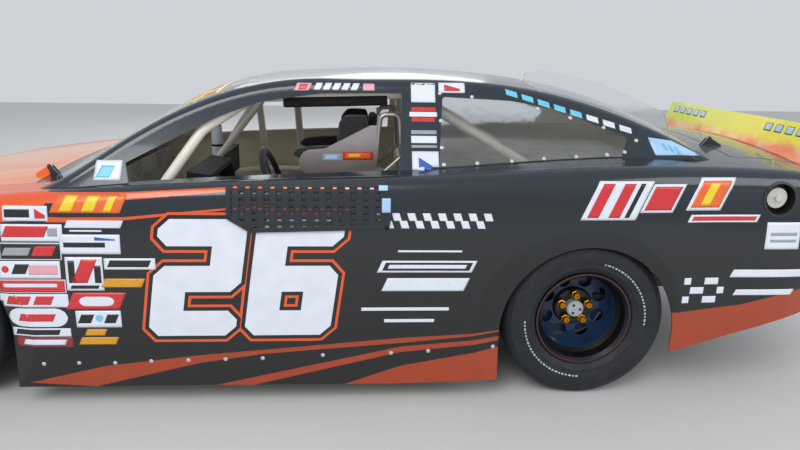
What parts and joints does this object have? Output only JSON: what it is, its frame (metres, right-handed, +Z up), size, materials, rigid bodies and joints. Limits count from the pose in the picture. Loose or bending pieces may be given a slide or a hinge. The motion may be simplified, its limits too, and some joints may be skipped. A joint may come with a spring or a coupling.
{
  "type": "stock car",
  "caption": "Closed-roof oval-track stock car: tube chassis, composite body, open door windows, hinged hood and deck lid, steered front wheels.",
  "frame": {"origin": "on the ground, midway between the nose and the tail on the centreline", "axes": "+X towards the nose, +Y to the car's left, +Z up"},
  "size_m": [5.0633, 1.9372, 1.3919],
  "materials": {
    "body_paint": "gloss",
    "trim_black": "satin",
    "frame_paint": "satin",
    "cage_paint": "satin",
    "sheet_metal": "satin",
    "seat_shell": "satin",
    "seat_pad": "matte",
    "webbing": "matte",
    "window": "clear",
    "spoiler_paint": "gloss",
    "steel_dark": "satin",
    "engine_iron": "matte",
    "wheel_paint": "satin",
    "tyre": "matte",
    "steel_bright": "brushed",
    "grip": "matte"
  },
  "bodies": {
    "car": {"nose": "body_paint", "splitter": "trim_black", "grille": "trim_black", "cowl": "body_paint", "roof": "body_paint", "windshield": "window", "rear_window": "window", "tail": "body_paint", "shark_fin": "window", "fuel_filler": "steel_bright", "window_net": "webbing", "chassis_frame": "frame_paint", "cage_hoop": "cage_paint", "cage_cross": "cage_paint", "cage_legs": "cage_paint", "door_bars": "cage_paint", "rear_braces": "cage_paint", "floor_pan": "sheet_metal", "dash": "trim_black", "steering_column": "steel_dark", "seat_shell": "seat_shell", "seat_pads": "seat_pad", "engine": "engine_iron", "gearbox": "engine_iron", "propshaft": "steel_bright", "rear_axle": "steel_dark", "rear_links": "steel_dark", "rack_housing": "steel_dark", "radiator": "sheet_metal", "fuel_cell": "trim_black", "exhaust": "steel_dark", "wheel_wells": "sheet_metal", "fender_left": "body_paint", "fender_right": "body_paint", "door_left": "body_paint", "door_right": "body_paint", "quarter_left": "body_paint", "quarter_right": "body_paint", "skirt_left": "body_paint", "skirt_right": "body_paint", "quarter_window_left": "window", "quarter_window_right": "window", "front_links_left": "steel_dark", "front_links_right": "steel_dark"},
    "hood": {"hood": "body_paint"},
    "deck_lid": {"deck_lid": "body_paint", "spoiler": "spoiler_paint"},
    "knuckle_left": {"knuckle_left": "steel_dark"},
    "knuckle_right": {"knuckle_right": "steel_dark"},
    "front_wheel_left": {"front_wheel_left": "wheel_paint", "front_tyre_left": "tyre"},
    "front_wheel_right": {"front_wheel_right": "wheel_paint", "front_tyre_right": "tyre"},
    "rear_wheel_left": {"rear_wheel_left": "wheel_paint", "rear_tyre_left": "tyre"},
    "rear_wheel_right": {"rear_wheel_right": "wheel_paint", "rear_tyre_right": "tyre"},
    "steering_wheel": {"steering_wheel": "grip"},
    "steering_rack": {"steering_rack": "steel_bright"}
  },
  "joints": [
    {"name": "hood_lift", "type": "hinge", "parent": "car", "child": "hood", "pos_m": [1.021, 0, 0.958], "axis": [0, -1, 0], "range_deg": [0, 60]},
    {"name": "deck_lift", "type": "hinge", "parent": "car", "child": "deck_lid", "pos_m": [-1.963, 0, 1.092], "axis": [0, 1, 0], "range_deg": [0, 45]},
    {"name": "steer_left", "type": "hinge", "parent": "car", "child": "knuckle_left", "pos_m": [1.495, 0.655, 0.354], "axis": [0, 0, 1], "range_deg": [-20, 20]},
    {"name": "steer_right", "type": "hinge", "parent": "car", "child": "knuckle_right", "pos_m": [1.495, -0.655, 0.354], "axis": [0, 0, 1], "range_deg": [-20, 20]},
    {"name": "steering_wheel_turn", "type": "hinge", "parent": "car", "child": "steering_wheel", "pos_m": [0.086, 0.33, 0.82], "axis": [-0.9511, 0, 0.309], "range_deg": [-240, 240]},
    {"name": "rack_slide", "type": "slide", "parent": "car", "child": "steering_rack", "axis": [0, 1, 0], "range_m": [-0.0485, 0.0485]},
    {"name": "spin_front_left", "type": "hinge", "parent": "knuckle_left", "child": "front_wheel_left", "pos_m": [1.495, 0.775, 0.354], "axis": [0, 1, 0], "continuous": true},
    {"name": "spin_front_right", "type": "hinge", "parent": "knuckle_right", "child": "front_wheel_right", "pos_m": [1.495, -0.775, 0.354], "axis": [0, 1, 0], "continuous": true},
    {"name": "spin_rear_left", "type": "hinge", "parent": "car", "child": "rear_wheel_left", "pos_m": [-1.299, 0.775, 0.354], "axis": [0, 1, 0], "continuous": true},
    {"name": "spin_rear_right", "type": "hinge", "parent": "car", "child": "rear_wheel_right", "pos_m": [-1.299, -0.775, 0.354], "axis": [0, 1, 0], "continuous": true}
  ],
  "couplings": [
    {"joint": "steer_right", "follows": "steer_left", "ratio": 1},
    {"joint": "steering_wheel_turn", "follows": "steer_left", "ratio": 12},
    {"joint": "rack_slide", "follows": "steer_left", "m_per_rad": 0.1372}
  ]
}
